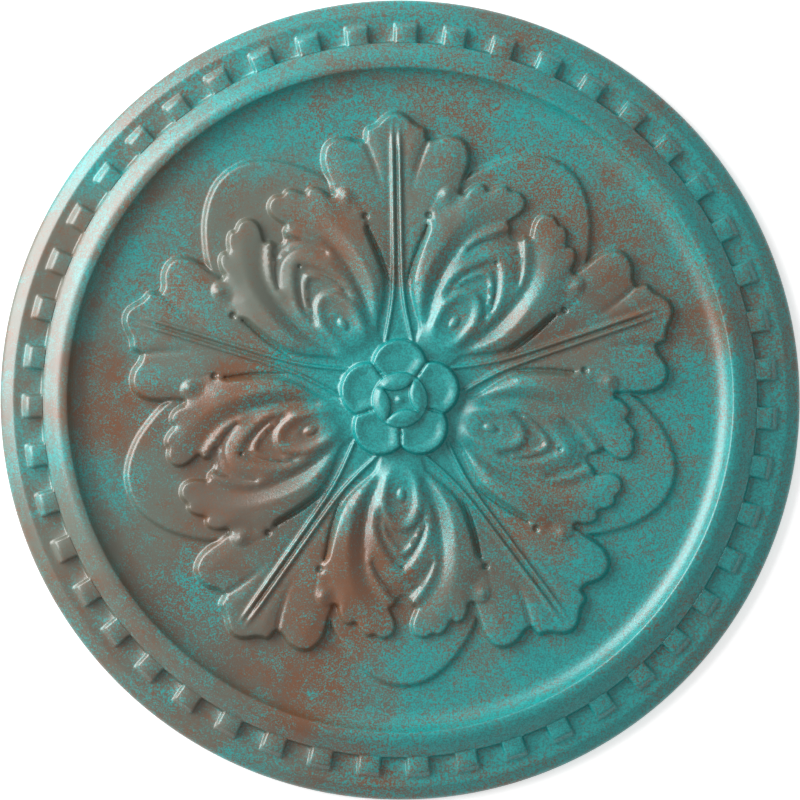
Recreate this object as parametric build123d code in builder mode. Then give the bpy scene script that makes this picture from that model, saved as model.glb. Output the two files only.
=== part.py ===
from build123d import *

from math import atan2, cos, degrees, radians, sin
import os

# Ceiling medallion, one moulding, in millimetres. It lies face up on its flat back:
# the back is at z = 0, its centre is the origin and the top of the face is +Y.
# Heights are measured from the back and radii from the centre.

# Rim, from the outside in
medallion_radius = 228.5
edge_height = 5.0
edge_width = 7.1
channel_height = 10.0
channel_width = 17.4
crest_foot_height = 13.3
crest_slope_width = 8.6
crest_height = 20.0
crest_chamfer = 2.4
crest_width = 6.0
cove_width = 12.7
cove_flats = 2
field_height = 11.5

# Dentils, standing in the channel and let into the foot of the crest
dentil_count = 47
dentil_first_angle = 4.8
dentil_margin = 5.4
dentil_overlap = 4.0
dentil_width = 14.8
dentil_height = 13.7
dentil_draft = 14.0

# The ornament repeats five times. Each carving is drawn with its axis along +Y. A fan points
# at the top of the face, but for a slight turn of the whole ornament, and the leaves and arches
# stand halfway between the fans.
# Points are (across, along) or (across, along, height). Each carving is let into the field.
fold_count = 5
half_fold = 36.0
ornament_turn = 0.9
root_height = 11.0
overlap = 1.0

# Pointed arch behind each leaf
arch_height = 14.6
arch_chamfer = 2.4
arch_waist = (0, 40.0)
arch_foot = (46.8, 115.0)
arch_haunch = (33.5, 146.0)
arch_tip = (0, 165.2)

# Fan of three lobes
fan_height = 16.8
fan_start = (0, 30.0)
fan_waist = (12.0, 60.0)
fan_foot = (40.5, 126.0)
fan_hip = (43.6, 139.0)
fan_side = (42.0, 147.2)
fan_side_end = (36.0, 151.2)
fan_arm = (27.0, 152.0)
fan_notch = (19.7, 148.3)
fan_shoulder = (18.3, 153.3)
fan_shoulder_end = (14.3, 156.8)
fan_crown = (7.6, 162.8)
fan_tip = (0, 165.6)

# Double reed that stems the fan, and the crease below each notch
reed_root = (7.0, 30.0, 18.8)
reed_parting = (2.6, 80.0, 19.2)
reed_tip = (1.2, 160.0, 16.6)
reed_slope = 6.0
crease_top = (20.2, 153.0, 15.2)
crease_end = (6.6, 112.0, 17.2)
crease_slope = 5.0

# Leaf: a plate with a round pipe along each half and a flared valley between the pipes
leaf_height = 19.0
leaf_start = (0, 30.0)
leaf_waist = (12.0, 30.0)
leaf_side = (34.7, 57.9)
leaf_hip = (48.3, 91.5)
leaf_eye = (50.8, 103.0)
lobe_side = (50.2, 114.0)
lobe_end = (40.6, 119.2)
bump_side = (38.0, 125.2)
bump_end = (32.0, 125.0)
wing_side = (25.4, 132.9)
wing_end = (17.0, 136.4)
wing_inside = (8.8, 135.4)
wing_inside_end = (5.0, 129.0)
notch_side = (5.0, 121.5)
notch_bottom = (0, 117.5)
pipe_radius = 11.0
pipe_root = (13.0, 32.0, 7.5)
pipe_crown = (34.5, 86.0, 12.6)
pipe_tip = (39.5, 119.0, 7.0)
valley_height = 17.0
valley_depth = 6.6
valley_start = (0, 44.0)
valley_waist = (6.0, 44.0)
valley_side = (15.0, 84.0)
valley_end = (0, 115.0)
valley_flare = 42.0

# Tongue and shell lying in the valley, and the bud with its bead over their root
tongue_height = 18.4
tongue_start = (0, 50.0)
tongue_waist = (12.0, 50.0)
tongue_hip = (13.5, 93.0)
tongue_side = (9.0, 101.5)
tongue_end = (0, 105.0)
shell_height = 20.6
shell_start = (0, 45.0)
shell_waist = (8.0, 45.0)
shell_hip = (12.0, 58.0)
shell_side = (9.5, 76.0)
shell_end = (0, 89.0)
bud_height = 23.6
bud_start = (0, 36.0)
bud_side = (11.0, 57.0)
bud_end = (0, 77.0)
bud_draft = 20.0
bead_height = 24.6
bead_centre = (0, 52.6)
bead_radius = 2.6
bead_sides = 8

# Rosette: five dished petals round a button with a sunk star
petal_radius = 16.0
petal_centre_radius = 19.0
petal_height = 25.0
dish_radius = 11.0
dish_depth = 1.0
dish_flare = 50.0
button_radius = 15.4
button_height = 28.5
button_chamfer = 2.0
star_reach = 13.4
star_arc_radius = 13.0
star_angle = 55.0
star_depth = 2.4

# Each ring of the rim takes its radius from the ring outside it.
shoulder_radius = medallion_radius - edge_width
crest_foot_radius = shoulder_radius - channel_width
crest_outer_radius = crest_foot_radius - crest_slope_width
crest_inner_radius = crest_outer_radius - crest_width
cove_foot_radius = crest_inner_radius - cove_width
dentil_outer_radius = shoulder_radius - dentil_margin
dentil_inner_radius = crest_foot_radius - dentil_overlap

# The cove is an arc that starts level with the field and ends at the crest.
cove_rise = crest_height - field_height
cove_radius = (cove_width**2 + cove_rise**2) / (2 * cove_rise)
cove_turn = 2 * degrees(atan2(cove_rise, cove_width))
cove_angles = [radians(cove_turn * flat / cove_flats) for flat in range(cove_flats + 1)]
cove_points = [
    (cove_foot_radius + cove_radius * sin(angle), field_height + cove_radius * (1 - cos(angle)))
    for angle in cove_angles
]

os.makedirs("parts", exist_ok=True)


def wedge_bar(start, end, half_width, rise):
    """Three-sided bar whose sharp edge runs from start to end, with its flat side a rise above."""
    start, end = Vector(*start), Vector(*end)
    run = end - start
    with BuildPart() as bar:
        with BuildSketch(Plane(origin=start, x_dir=(-run.Y, run.X, 0), z_dir=run)):
            Polygon((0, 0), (half_width, rise), (-half_width, rise), align=None)
        extrude(amount=run.length)
    return bar.part


with BuildPart() as rim:
    with BuildSketch(Plane.XZ) as rim_section:
        with BuildLine():
            Polyline(
                (0, 0),
                (0, field_height),
                *cove_points,
                (crest_outer_radius, crest_height),
                (crest_foot_radius, crest_foot_height),
                (crest_foot_radius, channel_height),
                (shoulder_radius, channel_height),
                (medallion_radius, edge_height),
                (medallion_radius, 0),
                close=True,
            )
        make_face()
        crest_corner = (crest_outer_radius, crest_height)
        chamfer(rim_section.vertices().sort_by_distance(crest_corner)[0], crest_chamfer)
    revolve(axis=Axis.Z)
    dentil_length = dentil_outer_radius - dentil_inner_radius
    dentil_centre_radius = (dentil_outer_radius + dentil_inner_radius) / 2
    with BuildSketch(Plane.XY.offset(channel_height - overlap)):
        with PolarLocations(dentil_centre_radius, dentil_count, dentil_first_angle):
            Rectangle(dentil_length, dentil_width)
    extrude(amount=dentil_height - channel_height + overlap, taper=dentil_draft)

with BuildPart() as arch:
    with BuildSketch(Plane.XY.offset(root_height)):
        with BuildLine():
            Line(arch_waist, arch_foot)
            ThreePointArc(arch_foot, arch_haunch, arch_tip)
            mirror(about=Plane.YZ)
        make_face()
    extrude(amount=arch_height - root_height)
    arch_top = arch.edges().group_by(Axis.Z)[-1]
    chamfer(arch_top.filter_by(GeomType.CIRCLE), arch_chamfer)

reeds = [
    wedge_bar(reed_root, reed_parting, reed_slope, -reed_slope),
    wedge_bar(reed_parting, reed_tip, reed_slope, -reed_slope),
]
crease = wedge_bar(crease_top, crease_end, crease_slope, crease_slope)

with BuildPart() as fan:
    with BuildSketch(Plane.XY.offset(root_height)):
        with BuildLine():
            Polyline(fan_start, fan_waist, fan_foot, fan_hip)
            ThreePointArc(fan_hip, fan_side, fan_side_end)
            ThreePointArc(fan_side_end, fan_arm, fan_notch)
            ThreePointArc(fan_notch, fan_shoulder, fan_shoulder_end)
            ThreePointArc(fan_shoulder_end, fan_crown, fan_tip)
            mirror(about=Plane.YZ)
        make_face()
    extrude(amount=fan_height - root_height)
    for reed in reeds:
        add(reed)
        mirror(reed, about=Plane.YZ)
    add(crease, mode=Mode.SUBTRACT)
    mirror(crease, about=Plane.YZ, mode=Mode.SUBTRACT)
    split(bisect_by=Plane.XY.offset(root_height), keep=Keep.TOP)

with BuildPart() as pipe:
    with BuildLine() as pipe_axis:
        Polyline(pipe_root, pipe_crown, pipe_tip)
    with BuildSketch(Plane(origin=pipe_root, z_dir=pipe_axis.line % 0)):
        Circle(pipe_radius)
    sweep(transition=Transition.RIGHT)

with BuildSketch(Plane.XY.offset(root_height)) as leaf_outline:
    with BuildLine():
        Polyline(leaf_start, leaf_waist, leaf_side, leaf_hip, leaf_eye)
        ThreePointArc(leaf_eye, lobe_side, lobe_end)
        ThreePointArc(lobe_end, bump_side, bump_end)
        ThreePointArc(bump_end, wing_side, wing_end)
        ThreePointArc(wing_end, wing_inside, wing_inside_end)
        Polyline(wing_inside_end, notch_side, notch_bottom)
        mirror(about=Plane.YZ)
    make_face()

with BuildPart() as leaf:
    add(pipe.part)
    mirror(pipe.part, about=Plane.YZ)
    extrude(leaf_outline.sketch, amount=button_height, mode=Mode.INTERSECT)
    extrude(leaf_outline.sketch, amount=leaf_height - root_height)
    with BuildSketch(Plane.XY.offset(valley_height)):
        with BuildLine():
            Line(valley_start, valley_waist)
            ThreePointArc(valley_waist, valley_side, valley_end)
            mirror(about=Plane.YZ)
        make_face()
    extrude(amount=valley_depth, taper=-valley_flare, mode=Mode.SUBTRACT)
    with BuildSketch(Plane.XY.offset(root_height)):
        with BuildLine():
            Polyline(tongue_start, tongue_waist, tongue_hip)
            ThreePointArc(tongue_hip, tongue_side, tongue_end)
            mirror(about=Plane.YZ)
        make_face()
    extrude(amount=tongue_height - root_height)
    with BuildSketch(Plane.XY.offset(root_height)):
        with BuildLine():
            Polyline(shell_start, shell_waist, shell_hip)
            ThreePointArc(shell_hip, shell_side, shell_end)
            mirror(about=Plane.YZ)
        make_face()
    extrude(amount=shell_height - root_height)
    with BuildSketch(Plane.XY.offset(root_height)):
        with BuildLine():
            ThreePointArc(bud_start, bud_side, bud_end)
            mirror(about=Plane.YZ)
        make_face()
    extrude(amount=bud_height - root_height, taper=bud_draft)
    with BuildSketch(Plane.XY.offset(bud_height - overlap)):
        with Locations(bead_centre):
            RegularPolygon(bead_radius, bead_sides)
    extrude(amount=bead_height - bud_height + overlap)

with BuildPart() as rosette:
    with BuildSketch(Plane.XY.offset(root_height)):
        with PolarLocations(petal_centre_radius, fold_count, 90 + ornament_turn):
            Circle(petal_radius)
    extrude(amount=petal_height - root_height)
    with BuildSketch(Plane.XY.offset(petal_height - dish_depth)):
        with PolarLocations(petal_centre_radius, fold_count, 90 + ornament_turn):
            Circle(dish_radius)
    extrude(amount=dish_depth + overlap, taper=-dish_flare, mode=Mode.SUBTRACT)
    with BuildSketch(Plane.XY.offset(root_height)):
        Circle(button_radius)
    extrude(amount=button_height - root_height)
    chamfer(rosette.edges().group_by(Axis.Z)[-1], button_chamfer)
    with BuildSketch(Plane.XY.offset(button_height).rotated((0, 0, star_angle))):
        Rectangle(2 * star_reach, 2 * star_reach)
        with GridLocations(2 * star_reach, 2 * star_reach, 2, 2):
            Circle(star_arc_radius, mode=Mode.SUBTRACT)
    extrude(amount=-star_depth, mode=Mode.SUBTRACT)

with BuildPart() as medallion:
    add(rim.part)
    with PolarLocations(0, fold_count, ornament_turn):
        add(fan.part)
    with PolarLocations(0, fold_count, ornament_turn + half_fold):
        add(arch.part)
        add(leaf.part)
    add(rosette.part)

medallion.part.label = "medallion"
export_step(medallion.part, "parts/medallion.step")
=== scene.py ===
import math
import bmesh
import bpy
import numpy as np
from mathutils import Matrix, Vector
from mathutils.geometry import delaunay_2d_cdt


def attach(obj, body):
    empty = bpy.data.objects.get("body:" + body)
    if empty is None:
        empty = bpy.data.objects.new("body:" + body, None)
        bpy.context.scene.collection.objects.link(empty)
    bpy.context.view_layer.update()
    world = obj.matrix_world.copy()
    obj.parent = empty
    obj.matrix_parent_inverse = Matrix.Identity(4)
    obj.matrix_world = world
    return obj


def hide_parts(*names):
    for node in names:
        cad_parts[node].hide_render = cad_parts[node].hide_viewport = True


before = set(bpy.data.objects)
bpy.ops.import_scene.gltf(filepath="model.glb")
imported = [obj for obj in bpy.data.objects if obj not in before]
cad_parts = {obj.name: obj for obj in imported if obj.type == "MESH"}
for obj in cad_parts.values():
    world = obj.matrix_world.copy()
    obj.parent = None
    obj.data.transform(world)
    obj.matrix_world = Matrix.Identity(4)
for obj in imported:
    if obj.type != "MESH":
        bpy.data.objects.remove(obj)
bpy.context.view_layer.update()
print("stage 1: frame loaded")

# Lengths below are in mm and become metres when the mesh is made.
# The ornament repeats ten times: a wedge from a fan's axis to a leaf's axis, and its mirror image.
mm = 0.001
halfFold = math.radians(36)
turn = math.radians(0.9)        # the whole ornament sits a little anticlockwise
alongLeaf = np.array([math.sin(halfFold), math.cos(halfFold)])
acrossLeaf = np.array([-math.cos(halfFold), math.sin(halfFold)])
innerRadius, innerSteps = 17.0, 9           # the ring that meets the button, and a wedge's points on it
outerRadius, outerSteps = 176.7, 47         # the ring where the cove begins


def toLeaf(p):
    # from the fan's frame to the leaf's, both halves on one side
    return np.stack([np.abs(p @ acrossLeaf), p @ alongLeaf], 1)


def fromLeaf(p):
    return p[:, 1:2] * alongLeaf + p[:, :1] * acrossLeaf


def curve(points, step=0.7):
    # smooth run through the points, any number of values each
    pts = np.array(points, float)
    ext = np.vstack([2 * pts[0] - pts[1], pts, 2 * pts[-1] - pts[-2]])
    rows = []
    for i in range(len(pts) - 1):
        p0, p1, p2, p3 = ext[i:i + 4]
        n = max(2, int(np.linalg.norm((p2 - p1)[:2]) / step) + 1)
        t = (np.arange(n) / n)[:, None]
        rows.append(0.5 * (2 * p1 + (p2 - p0) * t + (2 * p0 - 5 * p1 + 4 * p2 - p3) * t ** 2
                           + (3 * p1 - p0 - 3 * p2 + p3) * t ** 3))
    return np.vstack(rows + [pts[-1:]])


def closedOutline(runs, step=0.85):
    # runs meet in corners, from the axis round to the axis, then the mirror image
    half = np.vstack([curve(run, step)[:-1] for run in runs] + [np.array([runs[-1][-1]], float)])
    other = half[::-1][1:-1] * np.array([-1, 1, 1])
    return np.vstack([half, other])


def ring(x, y, radius, step=0.6):
    n = max(8, int(2 * math.pi * radius / step))
    a = np.arange(n) * 2 * math.pi / n
    return np.stack([x + radius * np.cos(a), y + radius * np.sin(a)], 1)


def distanceTo(p, line, closed=False):
    a = line[:, :2] if closed else line[:-1, :2]
    b = np.roll(line[:, :2], -1, 0) if closed else line[1:, :2]
    ab = (b - a)[None]
    best = np.empty(len(p))
    for i in range(0, len(p), 3000):
        q = p[i:i + 3000, None, :] - a[None]
        t = np.clip((q * ab).sum(2) / np.maximum((ab ** 2).sum(2), 1e-12), 0, 1)
        best[i:i + 3000] = np.sqrt(((q - ab * t[..., None]) ** 2).sum(2).min(1))
    return best


def valueAt(p, line):
    # third value of the nearest sample of the line
    out = np.empty(len(p))
    for i in range(0, len(p), 3000):
        d = ((p[i:i + 3000, None, :] - line[None, :, :2]) ** 2).sum(2)
        out[i:i + 3000] = line[d.argmin(1), 2]
    return out


def signedDistance(p, outline):
    # below zero inside
    inside = np.zeros(len(p), bool)
    for a, b in zip(outline, np.roll(outline, -1, 0)):
        if a[1] != b[1]:
            hit = (p[:, 1] > min(a[1], b[1])) & (p[:, 1] <= max(a[1], b[1]))
            inside ^= hit & (p[:, 0] < a[0] + (p[:, 1] - a[1]) * (b[0] - a[0]) / (b[1] - a[1]))
    d = distanceTo(p, outline, True)
    return np.where(inside, -d, d)


def ramp(low, high, x):
    t = np.clip((x - low) / (high - low), 0, 1)
    return t * t * (3 - 2 * t)


def beside(line, gap):
    # a line parallel to another, on its right for a gap above zero
    t = np.gradient(line[:, :2], axis=0)
    t /= np.linalg.norm(t, axis=1, keepdims=True)
    return np.column_stack([line[:, :2] + np.stack([t[:, 1], -t[:, 0]], 1) * gap, line[:, 2]])


def offsetCurve(outline, gap):
    t = (np.roll(outline, -1, 0) - np.roll(outline, 1, 0))[:, :2]
    t /= np.maximum(np.linalg.norm(t, axis=1, keepdims=True), 1e-9)
    x, y = outline[:, 0], outline[:, 1]
    side = 1 if np.sum(x * np.roll(y, -1) - np.roll(x, -1) * y) > 0 else -1
    moved = outline[:, :2] + np.stack([t[:, 1], -t[:, 0]], 1) * gap * side
    # loops in tight corners are left out
    return moved[np.abs(signedDistance(moved, outline) - gap) < 0.12]


def wall(sd, toe, width, bend=0.42, tilt=72):
    # a fillet, a steep flank and a rounded shoulder, from 0 outside to 1 inside
    t = np.clip((toe - sd) / width, 0, 1)
    tilt = math.radians(tilt)
    foot = bend * math.sin(tilt)
    rise = bend * (1 - math.cos(tilt))
    total = 2 * rise + (1 - 2 * foot) * math.tan(tilt)
    low = bend - np.sqrt(bend ** 2 - np.minimum(t, foot) ** 2)
    high = total - bend + np.sqrt(bend ** 2 - np.minimum(1 - t, foot) ** 2)
    mid = rise + (t - foot) * math.tan(tilt)
    return np.where(t < foot, low, np.where(t > 1 - foot, high, mid)) / total


# Outlines are (across, along, height of the edge), relief lines (across, along, height), each in the frame
# of its own leaf or fan. One half is given. Toe and width shape the wall along the outline, and swell
# rounds the skin between the lines.
field = {"height": 11.5}
arch = {
    "height": 14.6, "toe": 0.6, "width": 5.0,
    "outline": [[(0, 165.2, 0), (9.9, 163.6, 0), (19.6, 158.6, 0), (29, 150.4, 0), (36.4, 140.6, 0),
                 (42.2, 130.1, 0), (44.6, 122, 0), (46.8, 112, 0)],
                [(46.8, 112, 0), (30, 70, 0), (0, 22, 0)]],
}
fan = {
    "toe": 0.5, "width": 4.3, "swell": 0.004,
    "outline": [[(0, 165.7, 16.6), (4.0, 164.8, 16.6), (8.0, 162.2, 16.6), (11.4, 158.9, 16.5),
                 (14.4, 157.2, 16.4)],
                [(14.4, 157.2, 16.4), (17.0, 156.2, 16.3), (18.7, 153.6, 16.2), (19.0, 149.6, 16.0)],
                [(19.0, 149.6, 16.0), (22.3, 149.6, 16.3), (28.6, 151.6, 16.4), (35.8, 150.8, 16.4),
                 (41.4, 146.4, 16.4), (43.4, 139, 16.4), (42.4, 132, 16.4), (39.5, 124, 16.6)],
                [(39.5, 124, 16.6), (25, 84, 17), (17, 50, 17), (13, 26, 17), (0, 20, 17)]],
    "crease": [(18.9, 149.2, 14.6), (16.5, 144.5, 15.2), (14.1, 138.5, 15.8), (12.0, 132.5, 16.4),
               (10.1, 126.5, 17.0), (8.7, 120.5, 17.6)],
    "creaseHalf": 1.5, "creaseFloor": 16.7, "creaseRise": 1.2,
    # the two reeds of the stem: half their distance, along, height of the ground
    "reed": [(7.9, 33, 16.9), (6.6, 39, 17.0), (5.0, 47, 17.0), (3.5, 56, 17.1), (2.6, 66, 17.3),
             (2.3, 78, 17.4), (2.2, 100, 17.3), (2.15, 125, 17.2), (2.1, 145, 17.0), (2.0, 158, 16.7)],
    # half of a reed's section: from its middle, share of its height
    "reedSection": [(0.0, 1.0), (0.3, 0.97), (0.75, 0.78), (1.25, 0.3), (1.75, 0.0)], "reedHeight": 1.9,
    "reedEnd": (160, 138), "reedStart": (34, 60),       # along: where a reed dies out, and where it is full
    "lines": {
        "strip": [(6.4, 72, 17.7), (7.2, 84, 18.0), (7.4, 100, 18.0), (7.0, 112, 17.9), (6.6, 122, 17.8)],
        "crown": [(6.8, 130, 17.8), (8.2, 140, 17.8), (10.2, 148, 17.5), (12.0, 154, 16.9)],
        "lobe": [(33.4, 146.5, 17.2), (32.6, 138, 17.9), (29, 127, 18.2), (24, 115, 18.3), (18.4, 103, 18.2),
                 (12.4, 91, 18.0)],
        "shore": [(41.0, 135, 16.7), (36, 124, 17.2), (28.5, 112, 17.6), (21.4, 100, 17.9), (15.2, 89, 18.0),
                  (10.8, 79, 17.9), (8.0, 70, 17.7)],
    },
}
leaf = {
    "toe": 0.4, "width": 3.5, "swell": 0.006,
    "outline": [[(0, 112.6, 15.4), (1.5, 113.4, 15.6), (2.8, 115.6, 16.4), (4.2, 118.0, 17.2), (6.6, 118.9, 17.4)],
                [(6.6, 118.9, 17.4), (5.4, 121.4, 17.6), (4.0, 125, 17.8), (3.4, 128.8, 17.8),
                 (4.3, 132.8, 17.8), (7.0, 135.7, 17.8), (11.2, 137, 17.8), (14.4, 136.3, 17.8),
                 (17.0, 134.7, 17.7)],
                [(17.0, 134.7, 17.7), (19.2, 135.5, 17.8), (22.2, 134.8, 17.8), (25.3, 131.8, 17.8),
                 (27.7, 127.6, 17.7)],
                [(27.7, 127.6, 17.7), (30.0, 128.5, 17.8), (32.9, 128.2, 17.8), (35.8, 125.8, 17.8),
                 (37.8, 121.6, 17.8), (38.4, 117.2, 17.6)],
                [(38.4, 117.2, 17.6), (40.4, 117.0, 17.8), (44.2, 117.9, 17.9), (47.9, 116.8, 17.9),
                 (50.7, 113.4, 17.9), (51.6, 108.8, 17.9), (50.9, 104.4, 17.8), (50.6, 100, 17.6),
                 (49.9, 95.6, 17.6), (46.9, 92.4, 17.9)],
                [(46.9, 92.4, 19.6), (43.6, 89, 20.8), (42.2, 84, 21.3), (40.8, 78, 21.4), (38.6, 70, 21.2),
                 (36.0, 62.4, 20.3), (32.6, 55.8, 18.4), (27.6, 50.0, 17.3), (21.4, 44.6, 17.2),
                 (15.6, 39.4, 17.2), (13.4, 32, 17.2), (12.6, 25, 17.2)],
                [(12.6, 25, 17.2), (7, 21, 17.2), (0, 20, 17.2)]],
    "lines": {
        "pipe": [(13, 38, 18.5), (17.0, 45, 19.6), (22.0, 52.5, 21.8), (26.4, 60.5, 23.3), (29.2, 70, 23.8),
                 (30.4, 80, 23.5), (30.6, 90, 22.7), (29.8, 100, 21.7), (27.0, 110, 20.6), (22.4, 119.6, 19.6),
                 (16.4, 127.5, 19.0)],
        "pipeSide": [(30.6, 60.5, 22.5), (33.6, 70, 23.0), (35.4, 80, 22.8), (36.4, 90, 22.2), (36.8, 98, 21.4)],
        "pipeFoot": [(12.6, 46, 18.8), (16.2, 52.5, 18.5), (19.2, 60.5, 18.3), (21.3, 70, 18.3),
                     (22.5, 80, 18.6), (22.5, 90, 18.9), (21.6, 98, 18.9), (19.6, 104.4, 18.7),
                     (16.0, 110.6, 18.4), (11.8, 115.6, 18.1), (8.6, 119.6, 17.9)],
        "ridge": [(18.9, 87, 20.6), (18.2, 92.6, 20.7), (16.2, 98.6, 20.9), (12.6, 105.4, 20.7),
                  (8.6, 111.6, 20.2), (5.4, 116.0, 19.2)],
        "ridgeFoot": [(17.4, 92.6, 18.6), (15.6, 97.6, 17.8), (12.8, 102.4, 17.3), (8.8, 106.2, 17.0),
                      (4.4, 108.0, 16.9), (0, 108.4, 16.8)],
        "ridgeRun": [(9.2, 106.6, 17.0), (5.8, 110.2, 16.7), (2.8, 112.6, 16.2)],
        "lipIn": [(15.4, 92.0, 19.9), (12.8, 96.2, 19.4), (9.8, 99.8, 19.3), (6.4, 102.3, 19.3),
                  (3.2, 103.5, 19.3), (0, 103.8, 19.3)],
        "lipCut": [(15.9, 92.8, 19.2), (13.4, 97.0, 18.6), (10.4, 100.6, 18.4), (6.8, 103.2, 18.3),
                   (3.4, 104.4, 18.3), (0, 104.7, 18.3)],
        "lipOut": [(16.4, 93.4, 19.3), (14.0, 97.7, 18.9), (10.9, 101.5, 18.9), (7.2, 104.2, 18.9),
                   (3.6, 105.4, 18.9), (0, 105.7, 18.9)],
        "shell": [(12.4, 50, 20.2), (14.2, 57, 21.0), (15.3, 63.5, 21.6), (15.7, 70, 21.9), (14.8, 77, 21.9),
                  (12.2, 83.6, 21.7), (8.4, 90.2, 21.3), (4.0, 96.8, 20.7), (0, 100.6, 20.2)],
        "shellFoot": [(12.9, 68.6, 19.9), (12.4, 73.0, 19.3), (10.6, 78.8, 19.0), (7.9, 84.6, 18.8),
                      (4.9, 89.4, 18.7), (1.8, 93.2, 18.6)],
        "boat": [(11.5, 70.2, 21.3), (10.7, 73.2, 21.4), (8.9, 77.8, 21.4), (6.0, 82.8, 21.3),
                 (3.0, 86.4, 21.1), (0, 88.4, 21.0)],
        "boatFoot": [(8.9, 73.4, 19.4), (8.1, 75.0, 19.3), (6.3, 78, 19.1), (3.6, 81.8, 19.0), (0, 85.0, 18.9)],
        "boatOut": [(11.5, 75.2, 19.5), (9.9, 78.9, 19.2), (7.0, 83.8, 19.0), (4.0, 87.6, 18.9), (0, 90.0, 18.8)],
        "bud": [(4.4, 40.0, 21.2), (8.0, 44.6, 22.6), (9.8, 51, 23.5), (10.1, 57.5, 23.5), (9.5, 63.6, 23.1),
                (7.4, 68.8, 22.4), (4.0, 72.4, 21.9), (0, 74.0, 21.7)],
        "budFoot": [(12.6, 64.4, 19.9), (10.9, 68.6, 19.5), (8.0, 72.6, 19.4), (4.2, 75.0, 19.3), (0, 76.0, 19.2)],
        "dish": [(0, 45.4, 21.4), (3.4, 47.2, 21.2), (5.4, 51.4, 21.0), (5.6, 56.6, 20.9), (4.5, 61.6, 20.7),
                 (2.5, 66.0, 20.6), (0, 68.4, 20.6)],
        "root": [(0, 34.5, 19.4), (6, 35, 19.1), (11, 36.5, 18.5)],
        "berry": [(45.0, 110.0, 20.8), (46.0, 111.8, 20.8)],
        "berryFoot": [(39.9, 115.0, 18.2), (39.2, 110.6, 18.9), (40.2, 106, 19.2), (43.4, 102.8, 18.8)],
        "bump": [(34.2, 124.0, 18.7), (34.0, 117.5, 19.6), (33.2, 110, 20.4)],
        "bumpFoot": [(27.6, 126.8, 17.8), (27.4, 123.0, 18.9)],
    },
}
# the small bead in the bud: half its size, and its moat and rings as shares of that
bead = {"across": 2.5, "along": 3.9, "centre": 54.0, "moat": (1.95, 1.15), "moatDepth": 0.9, "rise": 1.1,
        "rings": (0.01, 0.45, 0.75, 0.95, 1.2, 1.5, 1.85)}
slot = {"line": [(44.6, 90.4, 0), (43.9, 88, 0), (42.9, 84, 0), (41.6, 78, 0), (39.5, 70, 0), (37.0, 62.4, 0),
                 (35.0, 57.6, 0)],
        "halfWidth": 1.3, "taper": (0.08, 0.92, 0.7), "floor": 16.2, "fade": (1.3, 0.35),
        "rows": (-1.3, -0.85, 0.0, 0.85, 1.3)}
holes = [(47.2, 95.6, 2.0, 16.9), (0, 95.2, 1.3, 18.5)]      # in the leaf: across, along, radius, floor
holeRings, holeFade = (0.0, 0.4, 0.7, 0.95, 1.3), (1.3, 0.4)
# the small hole where two petals meet
drill = {"along": 19.4, "fade": (1.4, 0.4), "floor": 23.2, "rings": (0.01, 0.6, 1.1, 1.6)}
# a span gives the two places between which a form goes from nothing to full
rosette = {
    "centre": 19.0, "radius": 16.0, "height": 25.0, "toe": 0.4, "width": 1.5,
    "edgeFall": 2.2, "edgeSpan": (1.7, -0.4), "dish": 1.5, "dishSpan": (1.9, 8.0),
    "reach": 36,                            # of the petals, from the middle of the medallion
    "petalRows": (0.4, 0.0, -0.4, -0.8, -1.3, -2.0, -3.2, -5.2, -8.0),
    "buttonSpan": (16.1, 15.2), "top": 28.45, "topFall": 1.7, "topSpan": (11.0, 15.6),
    "cushionFall": 0.8, "cushionSpan": (-2.0, 0.1),
    "buttonRows": (16.4, 16.0, 15.65, 15.3, 14.9, 14.4, 13.7, 12.6),
    # four arcs leave the star between them; its rows are gaps to such an arc
    "starReach": 13.4, "starArc": 13.0, "starTurn": math.radians(55), "starFloor": 25.4,
    "starPeak": 1.7, "peakSpan": (3.6, 0.0), "flankSpan": (-0.2, 0.7), "tipSpan": (15.0, 14.2),
    "starRows": (-1.6, -1.0, -0.6, -0.25, 0.05, 0.35, 0.65, 1.1),
}

archLine, fanLine, leafLine = (closedOutline(part["outline"]) for part in (arch, fan, leaf))
petalLine = np.pad(ring(0, rosette["centre"], rosette["radius"], 0.85), ((0, 0), (0, 1)))
creaseLine = curve(fan["crease"])
creaseEase = np.linspace(0, 1, len(creaseLine))
fanCurves = {name: curve(line, 1.0) for name, line in fan["lines"].items()}
fanCurves["crease"] = creaseLine
reedLine = curve(fan["reed"], 1.5)
reedRise = fan["reedHeight"] * ramp(*fan["reedEnd"], reedLine[:, 1])
reedRise = reedRise * (0.75 + 0.25 * ramp(*fan["reedStart"], reedLine[:, 1]))
reedRows = [(-gap, rise) for gap, rise in fan["reedSection"][:0:-1]] + fan["reedSection"]
for k, (gap, rise) in enumerate(reedRows):
    line = beside(reedLine, gap)
    line[:, 2] += rise * reedRise
    fanCurves["reed%d" % k] = line[line[:, 0] > 0.25]
fanCurves["ground"] = np.column_stack([reedLine[:, 0] * 0, reedLine[:, 1:]])
for name, gap in (("creaseIn", fan["creaseHalf"]), ("creaseOut", -fan["creaseHalf"])):
    edge = beside(creaseLine, gap)
    edge[:, 2] = fan["creaseFloor"] + fan["creaseRise"] * creaseEase
    fanCurves[name] = edge[2:]
leafCurves = {name: curve(line, 1.0) for name, line in leaf["lines"].items()}
slotLine = curve(slot["line"])
first, last, power = slot["taper"]
slotWidth = slot["halfWidth"] * np.sin(np.pi * np.linspace(first, last, len(slotLine))) ** power

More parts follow.
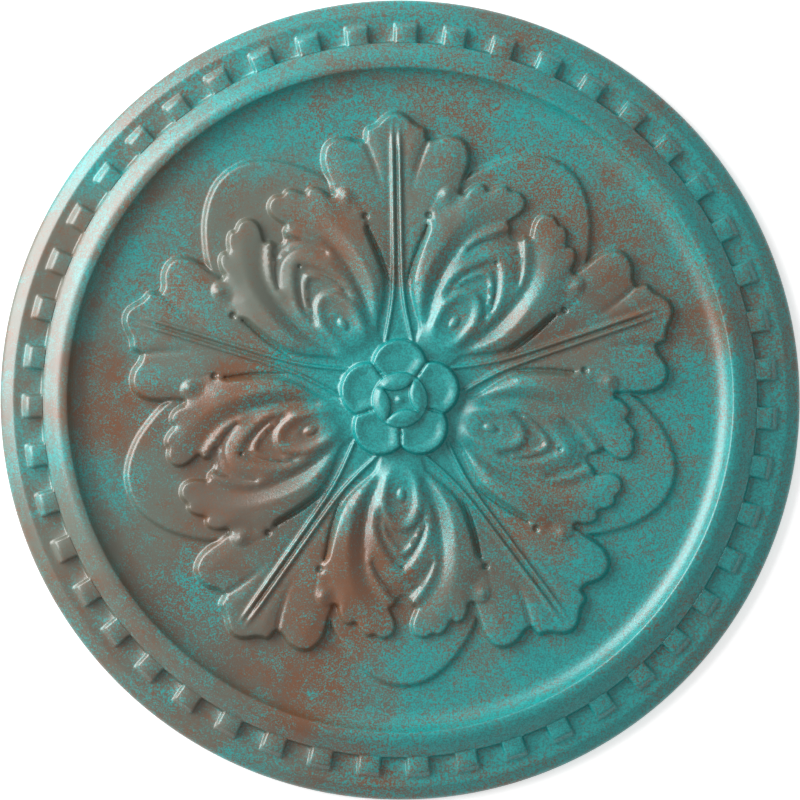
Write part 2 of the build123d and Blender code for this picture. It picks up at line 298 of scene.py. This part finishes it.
# points that the wedge's mesh goes through, the most important first
curves = []
wallSteps = (0.0, 0.14, 0.29, 0.5, 0.71, 0.86, 1.0)      # shares of a wall's width that get a row
cover = -0.4                # a row this far under a higher layer is left out
for outline, part, isLeaf in ((leafLine, leaf, True), (fanLine, fan, False), (archLine, arch, True)):
    for t in wallSteps:
        pts = offsetCurve(outline, part["toe"] - t * part["width"])
        pts = fromLeaf(pts) if isLeaf else pts
        shown = np.ones(len(pts), bool)         # what a higher layer hides gets no rows
        if part is not leaf:
            shown &= signedDistance(toLeaf(pts), leafLine) > cover
        if part is arch:
            shown &= signedDistance(pts, fanLine) > cover
        curves.append(pts[shown])
curves += [offsetCurve(petalLine, gap) for gap in rosette["petalRows"]]
curves += [fromLeaf(line[:, :2]) for line in leafCurves.values()]
curves += [line[signedDistance(toLeaf(line[:, :2]), leafLine) > cover, :2] for line in fanCurves.values()]
curves += [fromLeaf(beside(slotLine, (k * slotWidth)[:, None])[:, :2]) for k in slot["rows"]]
for x, y, radius, depth in holes:
    curves += [fromLeaf(ring(x, y, max(radius * k, 0.01), 0.7)) for k in holeRings]
curves += [fromLeaf(ring(0, drill["along"], r, 0.5)) for r in drill["rings"]]
for k in bead["rings"]:
    oval = ring(0, 0, 1, 0.2) * np.array([bead["across"] * k, bead["along"] * k])
    curves.append(fromLeaf(oval + np.array([0, bead["centre"]])))

# least gaps between the points of a wedge: on its lines, at its sides, and between the lines
spacing = {"line": 0.3, "edge": 0.22, "fineGrid": 1.5, "fineGap": 1.05, "coarseGrid": 3.0, "coarseGap": 2.1}


def insideWedge(p, margin):
    r = np.hypot(p[:, 0], p[:, 1])
    between = (p[:, 0] > margin) & (p @ acrossLeaf > margin)
    return between & (r > innerRadius + margin) & (r < outerRadius - margin)


def crossings(values, along, longest=2.5):
    # where a line crosses the wedge's side
    hits = list(along[np.abs(values) < 1e-6])
    for i in range(len(values) - 1):
        drop, stride = values[i] - values[i + 1], along[i + 1] - along[i]
        if values[i] * values[i + 1] < 0 and max(abs(stride), abs(drop)) < longest:
            hits.append(along[i] + values[i] / drop * stride)
    return hits


def sidePoints(hits, smallest=spacing["edge"], largest=1.6):
    kept = [innerRadius]
    for v in sorted(hits):
        if v - kept[-1] > smallest and outerRadius - v > smallest:
            kept.append(v)
    kept.append(outerRadius)
    out = []
    for a, b in zip(kept[:-1], kept[1:]):
        n = max(1, math.ceil((b - a) / largest))
        out += [a + (b - a) * k / n for k in range(n)]
    return np.array(out)


fanSide = sidePoints([v for c in curves for v in crossings(c[:, 0], c[:, 1])])
leafSide = sidePoints([v for c in curves for v in crossings(c @ acrossLeaf, c @ alongLeaf)])
a = np.linspace(0, halfFold, innerSteps + 1)
innerArc = innerRadius * np.stack([np.sin(a), np.cos(a)], 1)
a = np.linspace(0, halfFold, outerSteps + 1)
outerArc = outerRadius * np.stack([np.sin(a), np.cos(a)], 1)
boundary = np.vstack([innerArc[:-1], leafSide[:, None] * alongLeaf, outerArc[:0:-1],
                      np.append(fanSide, outerRadius)[:0:-1, None] * np.array([0.0, 1.0])])


class Scatter:
    # keeps points that lie at least a gap away from those kept before
    def __init__(self, start):
        self.cell = 0.6
        self.points = []
        self.grid = {}
        for p in start:
            self.put((float(p[0]), float(p[1])))

    def put(self, p):
        self.points.append(p)
        self.grid.setdefault((int(p[0] // self.cell), int(p[1] // self.cell)), []).append(p)

    def offer(self, pts, gap):
        reach = math.ceil(gap / self.cell)
        for p in pts.tolist():
            i, j = int(p[0] // self.cell), int(p[1] // self.cell)
            near = (q for m in range(i - reach, i + reach + 1) for n in range(j - reach, j + reach + 1)
                    for q in self.grid.get((m, n), ()))
            if all((q[0] - p[0]) ** 2 + (q[1] - p[1]) ** 2 >= gap * gap for q in near):
                self.put((p[0], p[1]))


def hexGrid(step):
    # over an area that holds the wedge
    gx, gy = np.meshgrid(np.arange(0, 110, step), np.arange(10, 180, step * 0.866))
    gx[1::2] += step / 2
    return np.stack([gx.ravel(), gy.ravel()], 1)


def triangulate(pts, border):
    # the first points are the border, in order
    loop = [(i, (i + 1) % border) for i in range(border)]
    result = delaunay_2d_cdt([Vector(p) for p in pts], loop, [], 1, 1e-6)
    v = np.array([tuple(q) for q in result[0]])
    f = np.array([list(t) for t in result[2] if len(t) == 3])
    a, b, c = v[f[:, 0]], v[f[:, 1]], v[f[:, 2]]
    area = (b[:, 0] - a[:, 0]) * (c[:, 1] - a[:, 1]) - (c[:, 0] - a[:, 0]) * (b[:, 1] - a[:, 1])
    f[area < 0] = f[area < 0][:, ::-1]
    return v, f[np.abs(area) > 1e-9]


scatter = Scatter(boundary)
for c in curves:
    scatter.offer(c[insideWedge(c, spacing["edge"])], spacing["line"])
fine = hexGrid(spacing["fineGrid"])
fine = fine[insideWedge(fine, 0.5)]
carved = np.minimum(signedDistance(toLeaf(fine), leafLine), signedDistance(fine, fanLine))
carved = np.minimum(carved, np.hypot(fine[:, 0], fine[:, 1]) - rosette["reach"])       # the petals too
scatter.offer(fine[carved < 0.5], spacing["fineGap"])
coarse = hexGrid(spacing["coarseGrid"])
scatter.offer(coarse[insideWedge(coarse, 0.8)], spacing["coarseGap"])
points, tris = triangulate(scatter.points, len(boundary))
print("stage 2: wedge points", len(points), "triangles", len(tris))

# cotangent weights, so that a skin between two straight lines is flat
links = []
for i, j, k in ((0, 1, 2), (1, 2, 0), (2, 0, 1)):
    u, v = points[tris[:, i]] - points[tris[:, k]], points[tris[:, j]] - points[tris[:, k]]
    cot = (u * v).sum(1) / np.maximum(np.abs(u[:, 0] * v[:, 1] - u[:, 1] * v[:, 0]), 1e-9)
    for a, b in ((i, j), (j, i)):
        links.append(np.column_stack([tris[:, a], tris[:, b], np.clip(cot, 0.02, 20)]))
links = np.vstack(links)
fromIds, toIds, weights = links[:, 0].astype(int), links[:, 1].astype(int), links[:, 2]
count = len(points)

# steps of the stretching, height to start from, and how near a point counts as on a line
stretch = {"steps": 1400, "start": 18.5, "near": 0.05}


def skin(lines, outline, p, sd, swell):
    # stretched over the relief lines and the outline's edge
    height = np.full(count, np.nan)
    for line in lines.values():
        near = np.where(distanceTo(p, line) < stretch["near"])[0]
        if len(near):
            height[near] = valueAt(p[near], curve(line, 0.1 if len(line) < 40 else 0.2))
    edge = valueAt(p, outline)
    bare = (sd > -stretch["near"]) & np.isnan(height)
    height[bare] = edge[bare]
    known = ~np.isnan(height)
    z = np.where(known, height, stretch["start"])
    total = np.bincount(fromIds, weights, count)
    for step in range(stretch["steps"]):
        mean = np.bincount(fromIds, weights * z[toIds], count) / total
        z = np.where(known, z, mean + swell)
    return z


leafP = toLeaf(points)
sdLeaf, sdArch = signedDistance(leafP, leafLine), signedDistance(leafP, archLine)
sdFan = signedDistance(points, fanLine)
leafSkin = skin(leafCurves, leafLine, leafP, sdLeaf, leaf["swell"])
fanSkin = skin(fanCurves, fanLine, points, sdFan, fan["swell"])
print("stage 3: skins stretched")


def over(below, above, mask):
    return below + (above - below) * mask


z = np.full(count, field["height"])
z = over(z, arch["height"], wall(sdArch, arch["toe"], arch["width"]))
z = over(z, fanSkin, wall(sdFan, fan["toe"], fan["width"]))
z = over(z, leafSkin, wall(sdLeaf, leaf["toe"], leaf["width"]))
halfSlot = valueAt(leafP, np.column_stack([slotLine[:, :2], slotWidth]))
z = over(z, slot["floor"], ramp(*slot["fade"], distanceTo(leafP, slotLine) / halfSlot))
for x, y, radius, depth in holes:
    z = over(z, depth, ramp(*holeFade, np.hypot(leafP[:, 0] - x, leafP[:, 1] - y) / radius))

k = np.hypot(leafP[:, 0] / bead["across"], (leafP[:, 1] - bead["centre"]) / bead["along"])
dome = 1.25 * np.sqrt(np.clip(1 - k ** 2, 0, 1))
z = z - bead["moatDepth"] * ramp(*bead["moat"], k) + bead["rise"] * dome


def petalHeight(p):
    # one petal, cut off where it meets the next: rounded at its edge and dished within
    rho = np.hypot(p[:, 0], p[:, 1] - rosette["centre"])
    inside = np.minimum(rosette["radius"] - rho, toLeaf(p)[:, 0] + 0.15)
    edge = rosette["edgeFall"] * ramp(*rosette["edgeSpan"], inside)
    dish = rosette["dish"] * ramp(*rosette["dishSpan"], inside)
    return rosette["height"] - edge - dish, rho


petal, rho = petalHeight(points)
z = over(z, petal, wall(rho - rosette["radius"], rosette["toe"], rosette["width"]))
fromDrill = np.hypot(leafP[:, 0], leafP[:, 1] - drill["along"])
z = over(z, drill["floor"], ramp(*drill["fade"], fromDrill) * (rho < rosette["radius"] + 1))
total = np.bincount(fromIds, weights, count)
r = np.hypot(points[:, 0], points[:, 1])
onEdge = (r > outerRadius - 0.01) | (r < innerRadius + 0.01)
smoothing = {"passes": 2, "share": 0.3}         # like a coat of paint
for step in range(smoothing["passes"]):
    mean = np.bincount(fromIds, weights * z[toIds], count) / total
    z = np.where(onEdge, z, z + smoothing["share"] * (mean - z))
wedge = np.column_stack([points, z])

# button with its star, inside the wedges
seam = innerSteps * 10
a = np.arange(seam) * 2 * math.pi / seam
seamRing = innerRadius * np.stack([np.sin(a), np.cos(a)], 1)
c, s = math.cos(rosette["starTurn"]), math.sin(rosette["starTurn"])
starAxes = np.array([[c, s], [-s, c]])
scatter = Scatter(seamRing)
for r in rosette["buttonRows"]:
    scatter.offer(ring(0, 0, r, 0.8), 0.3)
for sx in (-1, 1):
    for sy in (-1, 1):
        for gap in rosette["starRows"]:
            q = ring(sx * rosette["starReach"], sy * rosette["starReach"], rosette["starArc"] + gap, 0.7)
            q = q[(np.abs(q) <= rosette["starReach"]).all(1) & (np.hypot(q[:, 0], q[:, 1]) < 15)]
            scatter.offer(q @ starAxes, 0.28)
gx, gy = np.meshgrid(np.arange(-17, 17, 0.9), np.arange(-17, 17, 0.9))
q = np.stack([gx.ravel(), gy.ravel()], 1)
scatter.offer(q[np.hypot(q[:, 0], q[:, 1]) < innerRadius - 0.7], 0.6)
disc, discTris = triangulate(scatter.points, seam)
a = np.arctan2(disc[:, 0], disc[:, 1])
r = np.hypot(disc[:, 0], disc[:, 1])
a = np.abs((a + halfFold) % (2 * halfFold) - halfFold)
petal, rho = petalHeight(np.stack([r * np.sin(a), r * np.cos(a)], 1))
u = np.abs(disc @ starAxes.T)
# the gap is below zero on a cushion, above zero in the star
gap = np.hypot(u[:, 0] - rosette["starReach"], u[:, 1] - rosette["starReach"]) - rosette["starArc"]
cushion = rosette["top"] - rosette["topFall"] * ramp(*rosette["topSpan"], r)
cushion = cushion - rosette["cushionFall"] * ramp(*rosette["cushionSpan"], gap)
star = rosette["starFloor"] + rosette["starPeak"] * ramp(*rosette["peakSpan"], r) + 0.02 * r
inStar = ramp(*rosette["flankSpan"], gap) * ramp(*rosette["tipSpan"], r)
z = over(petal, over(cushion, star, inStar), ramp(*rosette["buttonSpan"], r))
disc = np.column_stack([disc, z])
print("stage 4: button triangles", len(discTris))

# rim: rings of points, drawn to the dentils' edges outside the crest
rim = {
    "columns": 470, "dentils": 47, "first": math.radians(90 - 4.8),         # one dentil, clockwise from +Y
    "dentilHalf": 6.95, "dentilTip": 215.6, "dentilHeight": 13.7,
    "sideWall": (0.6, 2.4), "tipWall": (0.6, 4.2, 0.18, 45),                # toe, width, bend, tilt
    "coveRadius": 13.744, "coveRise": 8.5, "coveWidth": 12.7, "coveRows": 9,
    # radius, height: over the crest, then across the channel and down the edge
    "crest": [(189.75, 20.3), (190.4, 20.5), (191.4, 20.55), (192.8, 20.45), (194.2, 20.15), (195.4, 19.7),
              (196.6, 19.1), (198, 18.1), (200, 16.5), (202, 14.9), (203.3, 13.9), (203.8, 13.2)],
    "channel": [(204.0, 12.4), (204.2, 11.4), (204.5, 10.6), (204.9, 10.1), (205.6, 10), (208, 10), (211, 10),
                (212.6, 10), (213.2, 10), (213.7, 10), (214.2, 10), (214.7, 10), (215.2, 10), (215.7, 10),
                (216.3, 10), (218, 10), (219.6, 10)],
    "edge": [(220.4, 9.95), (221.1, 9.75), (221.8, 9.4), (222.6, 8.9), (224.4, 7.65), (226.2, 6.4),
             (227.2, 5.6), (227.9, 4.9), (228.3, 4.1), (228.5, 3.2), (228.5, 0)],
    # columns of points, from a dentil's middle to halfway to the next at radius 210
    "offsets": np.array([0, 5.0, 5.9, 6.8, 7.6]), "halfPitch": 14.03,
    "fitting": (180, 199),                  # between these radii the columns move from even to fitted
}
profile = [(outerRadius, field["height"])]
coveTurn = 2 * math.atan2(rim["coveRise"], rim["coveWidth"])
for k in range(1, rim["coveRows"] + 1):
    a = coveTurn * k / rim["coveRows"]
    out, up = rim["coveRadius"] * math.sin(a), rim["coveRadius"] * (1 - math.cos(a))
    profile.append((outerRadius + out, field["height"] + up))
profile += rim["crest"]
step = 2 * math.pi / rim["dentils"]
pitch = 2 * rim["halfPitch"]
pattern = np.concatenate([rim["offsets"], [rim["halfPitch"]], (pitch - rim["offsets"][1:])[::-1]]) / pitch
base = np.arange(rim["columns"]) * 2 * math.pi / rim["columns"]
fitted = (np.arange(rim["dentils"])[:, None] + pattern[None]) * step + rim["first"]
fitted = np.sort(fitted.ravel() % (2 * math.pi))
# the fitted columns are numbered so that each lies next to its even one
lead = min(range(-20, 21), key=lambda k: np.abs(np.angle(np.exp(1j * (np.roll(fitted, k) - base)))).mean())
fitted = base + np.angle(np.exp(1j * (np.roll(fitted, lead) - base)))


def dentilMask(r):
    # steep sides, a broad sloping tip
    across = np.abs((fitted - rim["first"] + step / 2) % step - step / 2) * r
    sides = wall(across - rim["dentilHalf"], *rim["sideWall"])
    return sides * wall(r - rim["dentilTip"], *rim["tipWall"])


rows = []
for r, h in profile:
    w = float(ramp(*rim["fitting"], np.array(r)))
    a = base * (1 - w) + fitted * w
    rows.append(np.column_stack([r * np.sin(a), r * np.cos(a), np.full(len(a), h)]))
for r, h in rim["channel"] + rim["edge"]:
    low = np.full(len(fitted), float(h))
    mask = dentilMask(r) if h > 9.9 else 0
    height = low + np.maximum(rim["dentilHeight"] - low, 0) * mask
    rows.append(np.column_stack([r * np.sin(fitted), r * np.cos(fitted), height]))
rimPoints = np.vstack(rows)
i = np.arange(len(rows) - 1)[:, None] * rim["columns"]
j = np.arange(rim["columns"])[None]
jn = (j + 1) % rim["columns"]
quads = np.stack([i + j, i + rim["columns"] + j, i + rim["columns"] + jn, i + jn], -1).reshape(-1, 4)
print("stage 5: rim faces", len(quads))

# everything in one mesh, then the ornament turned by its small angle, which fades out at the cove
turnSpan = (outerRadius - 0.1, 168)
parts, allFaces = [], []


def addPart(v, f):
    start = sum(len(p) for p in parts)
    parts.append(v)
    allFaces.extend((np.asarray(f) + start).tolist())


for k in range(5):
    for side in (1, -1):
        v = wedge.copy()
        v[:, 0] *= side
        c, s = math.cos(2 * halfFold * k), math.sin(2 * halfFold * k)
        v[:, :2] = v[:, :2] @ np.array([[c, -s], [s, c]])
        addPart(v, tris if side > 0 else tris[:, ::-1])
addPart(disc, discTris)
ornament = sum(len(p) for p in parts)
addPart(rimPoints, quads)
# a flat back, from the lowest ring to the middle
last = sum(len(p) for p in parts) - rim["columns"]
addPart(np.zeros((1, 3)), [])
allFaces += [[last + rim["columns"], last + (q + 1) % rim["columns"], last + q] for q in range(rim["columns"])]
v = np.vstack(parts)
r = np.hypot(v[:, 0], v[:, 1])
ease = np.where(np.arange(len(v)) < ornament, ramp(*turnSpan, r), 0) * turn
x, y = v[:, 0].copy(), v[:, 1].copy()
v[:, 0], v[:, 1] = x * np.cos(ease) - y * np.sin(ease), x * np.sin(ease) + y * np.cos(ease)
mesh = bpy.data.meshes.new("medallionFace")
mesh.from_pydata((v * mm).tolist(), [], allFaces)
bm = bmesh.new()
bm.from_mesh(mesh)
bmesh.ops.remove_doubles(bm, verts=bm.verts, dist=1e-5)
bmesh.ops.recalc_face_normals(bm, faces=bm.faces)
openEdges = sum(not e.is_manifold for e in bm.edges)
print("stage 6: triangles", sum(len(f.verts) - 2 for f in bm.faces), "open edges", openEdges)
bm.to_mesh(mesh)
bm.free()
mesh.shade_smooth()
medallion = bpy.data.objects.new("medallionFace", mesh)
bpy.context.scene.collection.objects.link(medallion)
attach(medallion, "root")
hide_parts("medallion")


def feed(tree, socket, value):
    # another node's socket is linked, a plain value is set
    if isinstance(value, bpy.types.NodeSocket):
        tree.links.new(value, socket)
    else:
        socket.default_value = value


def addNode(tree, kind, inputs=None, **settings):
    node = tree.nodes.new(kind)
    for name, value in settings.items():
        setattr(node, name, value)
    for name, value in (inputs or {}).items():
        feed(tree, node.inputs[name], value)
    return node


def newGroup(name, inputs, outputs):
    tree = bpy.data.node_groups.new(name, "ShaderNodeTree")
    for label, kind, value in inputs:
        socket = tree.interface.new_socket(name=label, in_out="INPUT", socket_type=kind)
        if value is not None:
            socket.default_value = value
    for label, kind in outputs:
        tree.interface.new_socket(name=label, in_out="OUTPUT", socket_type=kind)
    return tree, tree.nodes.new("NodeGroupInput"), tree.nodes.new("NodeGroupOutput")


# a round patch with a soft edge, in the plane of the face
blotch, blotchIn, blotchOut = newGroup(
    "softPatch",
    [("Place", "NodeSocketVector", None), ("Centre", "NodeSocketVector", (0, 0, 0)),
     ("Radius", "NodeSocketFloat", 0.05)],
    [("Mask", "NodeSocketFloat")])
flat = addNode(blotch, "ShaderNodeVectorMath", {0: blotchIn.outputs["Place"], 1: (1, 1, 0)},
               operation="MULTIPLY")
away = addNode(blotch, "ShaderNodeVectorMath", {0: flat.outputs[0], 1: blotchIn.outputs["Centre"]},
               operation="DISTANCE")
ratio = addNode(blotch, "ShaderNodeMath", {0: away.outputs["Value"], 1: blotchIn.outputs["Radius"]},
                operation="DIVIDE")
fade = addNode(blotch, "ShaderNodeMapRange", {"Value": ratio.outputs[0], "From Min": 1.35, "From Max": 0.3,
                                              "To Min": 0.0, "To Max": 1.0}, interpolation_type="SMOOTHERSTEP")
blotch.links.new(fade.outputs["Result"], blotchOut.inputs["Mask"])

paint = {
    "teal": (0.004, 0.355, 0.340, 1), "tealDark": (0.004, 0.205, 0.200, 1),
    "brown": (0.122, 0.094, 0.066, 1), "rust": (0.175, 0.070, 0.028, 1), "grey": (0.118, 0.134, 0.104, 1),
    "roughness": 0.36, "specular": 1.0, "gritBump": (0.45, 0.03), "bumpDepth": 0.0003,
    # noises: scale per metre, detail, roughness, distortion
    "clouds": (13, 4.0, 0.6, 0.4), "sponge": (22, 3.0, 0.6, 0.3), "greyClouds": (30, 3.0, 0.6, 0.0),
    "blots": (70, 4.0, 0.65, 0.2), "rustBlots": (95, 3.0, 0.6, 0.0), "crumbs": (480, 2.0, 0.6, 0.0),
    "skin": (950, 2.0, 0.6, 0.0), "grain": (1150, 2.0, 0.65, 0.0),
    # how much each noise counts, with the shift that centres it
    "cloudsWeight": (3.2, -1.62), "blotsWeight": (2.1, -1.05), "rustWeight": (1.6, -0.8), "greyWeight": 2.0,
    "grainWeight": 4.4, "crumbsWeight": (1.8, -3.1), "rustClouds": (-1.2, 0.28), "rustSpeckle": -0.45,
    "gritReach": (0.9, 0.35), "spongeShare": (0.5, 0.5),
    # sums at which a colour begins and is full
    "tealEdge": (-0.55, 0.60), "darkEdge": (-0.35, 0.35), "rustEdge": (-0.2, 0.45), "greyEdge": (0.75, 1.35),
    "spongeEdge": (0.42, 0.62), "brushedEdge": (1.0, 0.2),
    # centre, radius, how much teal the patch adds
    "patches": [((0, 0), 57, 1.5), ((-66, 84), 52, -0.75), ((60, 80), 50, -0.15), ((95, -30), 55, -0.30),
                ((0, -100), 55, -0.45), ((-95, -30), 60, -0.55), ((0, 185), 60, 0.25), ((-85, 150), 45, 0.45),
                ((85, 150), 42, 0.45), ((130, 110), 35, -0.10), ((160, 60), 35, -0.20), ((175, 0), 35, 0.40),
                ((165, -75), 60, 0.40), ((110, -135), 55, 0.45), ((50, -165), 55, 0.45),
                ((-90, -150), 45, -0.60), ((-165, -60), 50, -0.30), ((-175, 0), 40, -0.60),
                ((-130, 110), 35, -0.35), ((-215, 60), 80, -0.35), ((-190, -130), 80, -0.40),
                ((-90, -215), 60, -0.40), ((-110, 190), 50, -0.25), ((200, 110), 60, 0.35),
                ((215, -20), 50, 0.20), ((120, -190), 70, 0.40), ((0, 112), 45, -0.50), ((-110, 42), 48, -0.70),
                ((-66, -92), 45, -0.45), ((66, -92), 45, -0.40), ((106, 34), 45, -0.45)],
    # centre, radius, how smooth the paint is
    "brushed": [((0, 0), 62, 1.0), ((-225, 40), 95, 1.0), ((-205, 130), 50, 0.8), ((-78, 88), 46, 0.9),
                ((-70, 135), 30, 0.7), ((-200, -90), 60, 0.7)],
    # centre, radius, how much greyer than brown
    "greyish": [((-80, 95), 60, 0.9), ((-125, 50), 45, 0.8), ((0, 130), 40, 0.6), ((60, 75), 40, 0.4),
                ((-165, -60), 45, 0.4), ((40, -150), 50, 0.3), ((-200, 100), 60, 0.3), ((0, -40), 30, -0.4),
                ((-100, -20), 45, -0.5)],
    # centre, radius, how much rust
    "rusty": [((23, 186), 26, 0.5), ((-120, 57), 24, 0.4), ((-40, 98), 34, 0.5), ((150, -18), 40, 0.3),
              ((170, -40), 26, 0.4), ((92, -170), 30, 0.5), ((100, 125), 60, 0.35), ((165, 50), 50, 0.3),
              ((50, 170), 50, 0.3), ((-150, 80), 40, 0.25), ((-60, -166), 34, 0.5), ((-170, 0), 40, 0.55),
              ((-85, -5), 40, 0.6), ((-25, -105), 45, 0.6), ((40, 60), 36, 0.4), ((85, -60), 40, 0.5),
              ((-8, -215), 30, 0.5), ((130, 112), 34, 0.15)],
}
material = bpy.data.materials.new("verdigrisPaint")
material.use_nodes = True
tree = material.node_tree
bsdf = tree.nodes["Principled BSDF"]
place = addNode(tree, "ShaderNodeTexCoord").outputs["Object"]


def patchSum(rows):
    total = None
    for (x, y), radius, amount in rows:
        settings = {"Place": place, "Centre": (x * mm, y * mm, 0), "Radius": radius * mm}
        spot = addNode(tree, "ShaderNodeGroup", settings, node_tree=blotch)
        added = {0: spot.outputs["Mask"], 1: amount, 2: total if total else 0.0}
        total = addNode(tree, "ShaderNodeMath", added, operation="MULTIPLY_ADD").outputs[0]
    return total


def noise(scale, detail, rough, distort):
    settings = {"Vector": place, "Scale": scale, "Detail": detail, "Roughness": rough, "Distortion": distort}
    return addNode(tree, "ShaderNodeTexNoise", settings).outputs["Fac"]


def combine(operation, *values):
    return addNode(tree, "ShaderNodeMath", dict(enumerate(values)), operation=operation).outputs[0]


def threshold(value, low, high):
    limits = {"Value": value, "From Min": low, "From Max": high, "To Min": 0.0, "To Max": 1.0}
    return addNode(tree, "ShaderNodeMapRange", limits).outputs["Result"]


def blend(fac, a, b):
    node = addNode(tree, "ShaderNodeMix", data_type="RGBA")
    for socket, value in ((node.inputs[0], fac), (node.inputs[6], a), (node.inputs[7], b)):
        feed(tree, socket, value)
    return node.outputs[2]


clouds = noise(*paint["clouds"])
blots = noise(*paint["blots"])
grain = noise(*paint["grain"])
crumbs = noise(*paint["crumbs"])
# where the paint is sponged, not brushed
gritty = combine("MULTIPLY_ADD", threshold(noise(*paint["sponge"]), *paint["spongeEdge"]), *paint["spongeShare"])
gritty = combine("MULTIPLY", gritty, threshold(patchSum(paint["brushed"]), *paint["brushedEdge"]))
# teal lies thick where the sum is high; the speckle breaks up its edge
weight, shift = paint["cloudsWeight"]
tealness = combine("MULTIPLY_ADD", clouds, weight, combine("ADD", patchSum(paint["patches"]), shift))
weight, shift = paint["blotsWeight"]
tealness = combine("MULTIPLY_ADD", blots, weight, combine("ADD", tealness, shift))
speckle = combine("MULTIPLY_ADD", crumbs, *paint["crumbsWeight"])
speckle = combine("MULTIPLY_ADD", grain, paint["grainWeight"], speckle)
reach = combine("MULTIPLY_ADD", gritty, *paint["gritReach"])
tealMask = threshold(combine("MULTIPLY_ADD", speckle, reach, tealness), *paint["tealEdge"])
weight, shift = paint["rustClouds"]
rustiness = combine("MULTIPLY_ADD", clouds, weight, combine("ADD", patchSum(paint["rusty"]), shift))
weight, shift = paint["rustWeight"]
rustiness = combine("MULTIPLY_ADD", noise(*paint["rustBlots"]), weight, combine("ADD", rustiness, shift))
rustMask = threshold(combine("MULTIPLY_ADD", speckle, paint["rustSpeckle"], rustiness), *paint["rustEdge"])
greyness = combine("MULTIPLY_ADD", noise(*paint["greyClouds"]), paint["greyWeight"], patchSum(paint["greyish"]))
ground = blend(threshold(greyness, *paint["greyEdge"]), paint["brown"], paint["grey"])
ground = blend(rustMask, ground, paint["rust"])
teal = blend(threshold(speckle, *paint["darkEdge"]), paint["tealDark"], paint["teal"])
colour = blend(tealMask, ground, teal)
tree.links.new(colour, bsdf.inputs["Base Color"])
bsdf.inputs["Roughness"].default_value = paint["roughness"]
bsdf.inputs["Specular IOR Level"].default_value = paint["specular"]
skinBump = addNode(tree, "ShaderNodeBump", {"Strength": combine("MULTIPLY_ADD", gritty, *paint["gritBump"]),
                                            "Distance": paint["bumpDepth"], "Height": noise(*paint["skin"])})
tree.links.new(skinBump.outputs["Normal"], bsdf.inputs["Normal"])
mesh.materials.append(material)
print("stage 7: paint")

# lengths in metres, the lamp in watts
studio = {"floorHalf": 3.0, "floorLevel": -0.0002, "paper": 0.9, "floorGlow": 0.5, "world": 0.41,
          "lampPlace": (-1.655, 0.70, 0.88), "lampSize": (2.0, 1.7), "lampPower": 73,
          "cameraHeight": 4, "viewWidth": 0.4577}
half, level = studio["floorHalf"], studio["floorLevel"]
corners = [(-half, -half, level), (half, -half, level), (half, half, level), (-half, half, level)]
floorMesh = bpy.data.meshes.new("floor")
floorMesh.from_pydata(corners, [], [(0, 1, 2, 3)])
floor = bpy.data.objects.new("floor", floorMesh)
bpy.context.scene.collection.objects.link(floor)
paper = bpy.data.materials.new("floorPaper")
paper.use_nodes = True
tree = paper.node_tree
sheet = tree.nodes["Principled BSDF"]
sheet.inputs["Base Color"].default_value = (studio["paper"],) * 3 + (1,)
sheet.inputs["Roughness"].default_value = 0.9
sheet.inputs["Emission Color"].default_value = (1, 1, 1, 1)
# the floor glows for the camera and in gloss, but lights nothing
path = tree.nodes.new("ShaderNodeLightPath")
rays = {0: path.outputs["Is Camera Ray"], 1: path.outputs["Is Glossy Ray"]}
seen = addNode(tree, "ShaderNodeMath", rays, operation="MAXIMUM")
glow = addNode(tree, "ShaderNodeMath", {0: seen.outputs[0], 1: studio["floorGlow"]}, operation="MULTIPLY")
tree.links.new(glow.outputs[0], sheet.inputs["Emission Strength"])
floorMesh.materials.append(paper)

world = bpy.data.worlds.new("studio")
bpy.context.scene.world = world
world.use_nodes = True
sky = world.node_tree.nodes["Background"]
sky.inputs["Color"].default_value = (1, 1, 1, 1)
sky.inputs["Strength"].default_value = studio["world"]


def softbox(name, place, size, power):
    data = bpy.data.lights.new(name, "AREA")
    data.shape = "RECTANGLE"
    data.size, data.size_y = size
    data.energy = power
    lamp = bpy.data.objects.new(name, data)
    lamp.location = place
    lamp.rotation_euler = (-Vector(place)).to_track_quat("-Z", "Y").to_euler()
    bpy.context.scene.collection.objects.link(lamp)


softbox("keyLeft", studio["lampPlace"], studio["lampSize"], studio["lampPower"])
print("stage 8: floor and light")

camera = bpy.data.objects.new("camera", bpy.data.cameras.new("camera"))
bpy.context.scene.collection.objects.link(camera)
camera.location = (0, 0, studio["cameraHeight"])
camera.data.sensor_width = 36
camera.data.lens = camera.data.sensor_width * studio["cameraHeight"] / studio["viewWidth"]
camera.data.clip_end = 20
bpy.context.scene.camera = camera
bpy.context.scene.view_settings.view_transform = "Standard"
